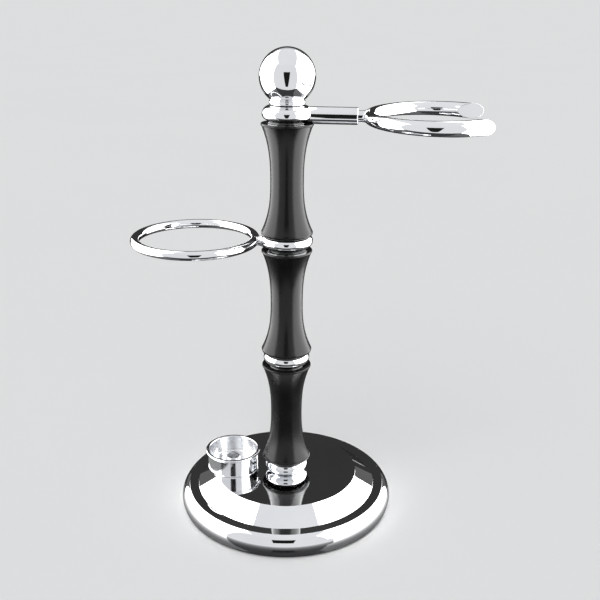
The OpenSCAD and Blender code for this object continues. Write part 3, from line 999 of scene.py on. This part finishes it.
def tent_walls(white, grey, dark, cloth):
    """The two side walls; the left one's front stretch is cloth."""
    for name, x, start in (("left", -TENT_X, LEFT_WHITE_FROM), ("right", TENT_X, TENT_FRONT)):
        lit = [(start, TENT_LOW), (SIDE_END, TENT_LOW), (SIDE_END, GREY_TOP_Z),
               (WALL_END, GREY_TOP_END_Z), (WALL_END, TENT_TOP), (start, TENT_TOP)]
        side_card("tent_" + name, x, lit, white)
        under = [(SIDE_END, TENT_LOW), (WALL_END, TENT_LOW),
                 (WALL_END, GREY_TOP_END_Z), (SIDE_END, GREY_TOP_Z)]
        side_card("tent_grey_" + name, x, under, grey)
        side_card("tent_dark_" + name, x, rectangle(WALL_END, TENT_LOW, TENT_BACK, TENT_TOP), dark)
    corner = rectangle(TENT_FRONT, TENT_LOW, LEFT_WHITE_FROM, TENT_TOP)
    side_card("tent_left_front", -TENT_X, corner, cloth)


def light_tent():
    """A half-metre light tent with a painted dark floor reflection, a dark back and a camera in front."""
    white = glow("tent_side", (1.0, 1.0, 1.0), SIDE_LIGHT)
    pale = glow("tent_top", (0.97, 0.98, 1.0), CEILING_LIGHT)
    cloth = glow("tent_front", (0.98, 0.985, 1.0), CLOTH_LIGHT)
    dark = graded_glow("tent_dark", DARK_FROM_Z, DARK_TO_Z, DARK_LIGHT, DARK_TOP_LIGHT)
    unlit = glow("tent_camera", (1.0, 1.0, 1.0), CAMERA_LIGHT)
    grey = glow("tent_grey", (1.0, 1.0, 1.0), GREY_LIGHT)
    tent_walls(white, grey, dark, cloth)
    front = rectangle(-TENT_X, TENT_LOW, TENT_X, TENT_TOP)
    upright_card("tent_front_wall", TENT_FRONT, front, cloth)
    upright_card("tent_front_flap", FLAP_Y, rectangle(FLOOR_REFLECTION_LEFT, 0, FLOOR_REFLECTION_RIGHT, FLAP_TOP), cloth)
    upright_card("tent_back_wall", TENT_BACK, rectangle(-TENT_X, 0, TENT_X, TENT_TOP), dark)
    ceiling = [(-CEILING_X, TENT_FRONT), (CEILING_X, TENT_FRONT),
               (CEILING_END_X, CEILING_END), (-CEILING_END_X, CEILING_END)]
    level_card("tent_ceiling", TENT_TOP, ceiling, pale)
    roof = rectangle(-ROOF_X, TENT_FRONT, ROOF_X, CEILING_END)
    level_card("tent_roof", TENT_TOP + ROOF_GAP, roof, white)
    level_card("tent_under", TENT_LOW, rectangle(-TENT_X, TENT_FRONT, TENT_X, TENT_BACK), cloth)
    # Painted reflection: a dark polished card just above the floor, seen in reflections in place of the
    # pale floor.
    floor_reflection = rectangle(FLOOR_REFLECTION_LEFT, FLOOR_REFLECTION_FRONT, FLOOR_REFLECTION_RIGHT, TENT_BACK)
    level_card("tent_floor_reflection_card", FLOOR_REFLECTION_Z, floor_reflection, painted_floor_reflection())
    outline = [(CAMERA_X - CAMERA_TOP_W / 2, CAMERA_TOP_Z), (CAMERA_X + CAMERA_TOP_W / 2, CAMERA_TOP_Z),
               (CAMERA_X + CAMERA_FOOT_W / 2, CAMERA_FOOT_Z), (CAMERA_X - CAMERA_FOOT_W / 2, CAMERA_FOOT_Z)]
    upright_card("tent_camera_outline", TENT_FRONT + CAMERA_GAP, outline, unlit)


def floor():
    """Plain pale floor, which the reflections don't see; they see the painted dark floor reflection
    instead.
    """
    size = 60
    mesh = bpy.data.meshes.new("floor")
    mesh.from_pydata([(x, y, 0) for x, y in rectangle(-size, -size, size, size)], [], [(0, 1, 2, 3)])
    n = Nodes("floor_paper")
    n.set(Roughness=0.9, Specular_IOR_Level=0.0)
    n.colour(n.noise(4, 2), (0.88, 0.88, 0.875), (0.90, 0.90, 0.895))
    mesh.materials.append(n.material)
    thing = add_object("floor", mesh)
    thing.visible_glossy = False


def lights():
    """Even studio light: a pale sky, which the chrome sees past the tent, and a soft sun."""
    world = bpy.data.worlds.new("studio")
    bpy.context.scene.world = world
    world.use_nodes = True
    sky = world.node_tree.nodes["Background"]
    sky.inputs["Color"].default_value = (0.97, 0.98, 1.0, 1)
    sky.inputs["Strength"].default_value = 0.62
    key = bpy.data.lights.new("soft_key", "SUN")
    key.energy = 0.9
    key.angle = math.radians(50)
    thing = add_object("soft_key", key)
    thing.rotation_euler = (math.radians(38), math.radians(-22), 0)
    thing.visible_glossy = False


def camera():
    """Camera at the viewing angle worked out for the stand."""
    place_at = (0, -0.2878, 0.1865)
    pitch, yaw, roll = math.radians(19.9), math.radians(0.96), math.radians(0.51)
    forward = Vector((math.sin(yaw) * math.cos(pitch), math.cos(yaw) * math.cos(pitch), -math.sin(pitch)))
    level = Vector((math.cos(yaw), -math.sin(yaw), 0))
    upright = level.cross(forward)
    right = level * math.cos(roll) + upright * math.sin(roll)
    up = upright * math.cos(roll) - level * math.sin(roll)
    data = bpy.data.cameras.new("camera")
    data.lens = 50.68
    data.sensor_width = 36
    data.clip_start, data.clip_end = 0.01, 200
    thing = add_object("camera", data)
    turn = Matrix((right, up, -forward)).transposed().to_4x4()
    thing.matrix_world = Matrix.Translation(place_at) @ turn
    bpy.context.scene.camera = thing


camera()
make_base()
make_spools()
make_collars()
make_rod()
make_knob()
make_ring_stem(make_ring())
make_sleeve()
make_fork()
make_cup()
make_cup_screw()
dress_kept_nodes()
floor()
light_tent()
lights()
bpy.context.scene.view_settings.view_transform = "Standard"
